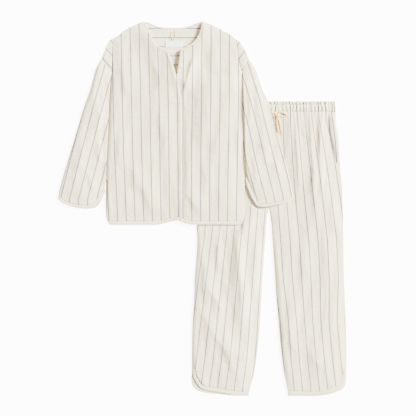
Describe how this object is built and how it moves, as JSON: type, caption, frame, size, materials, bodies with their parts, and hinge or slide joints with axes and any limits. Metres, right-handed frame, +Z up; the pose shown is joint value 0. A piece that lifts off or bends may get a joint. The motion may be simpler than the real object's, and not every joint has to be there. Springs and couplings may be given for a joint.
{
  "type": "flat-laid pyjama set",
  "caption": "Loose collarless long-sleeved pyjama top with a concealed front closing, laid flat over straight drawstring trousers with curved hems; fine stripes on cream cloth",
  "frame": {"origin": "centre of the flat lay's outline, on the surface it lies on", "axes": "+X to the viewer's right across both garments, +Y towards the top's shoulders, +Z up from the surface"},
  "size_m": [0.995, 1.292, 0.0144],
  "materials": {
    "cloth": "light plain-woven cotton, cream with thin grey stripes",
    "band": "narrow bands and tape of the same cotton, plain",
    "label": "smooth white woven label, blank",
    "cord": "soft pale peach tape"
  },
  "bodies": {
    "root": {"top_back": "cloth", "top_back_yoke": "cloth", "top_front_left": "cloth", "top_front_right": "cloth", "sleeve_cap_left": "cloth", "sleeve_cap_right": "cloth", "sleeve_left": "cloth", "sleeve_right": "cloth", "cuff_band_left": "band", "cuff_band_right": "band", "neck_band_left": "band", "neck_band_back": "band", "neck_band_right": "band", "hem_band_left": "band", "hem_band_right": "band", "hem_band_back": "band", "hanger_loop": "band", "neck_label": "label", "leg_front_left": "cloth", "leg_front_right": "cloth", "leg_back_left": "cloth", "leg_back_right": "cloth", "waistband": "cloth", "pocket_facing_left": "cloth", "pocket_facing_right": "cloth", "leg_hem_front_left": "band", "leg_hem_front_right": "band", "leg_hem_back_left": "band", "leg_hem_back_right": "band", "drawstring": "cord"}
  },
  "joints": []
}
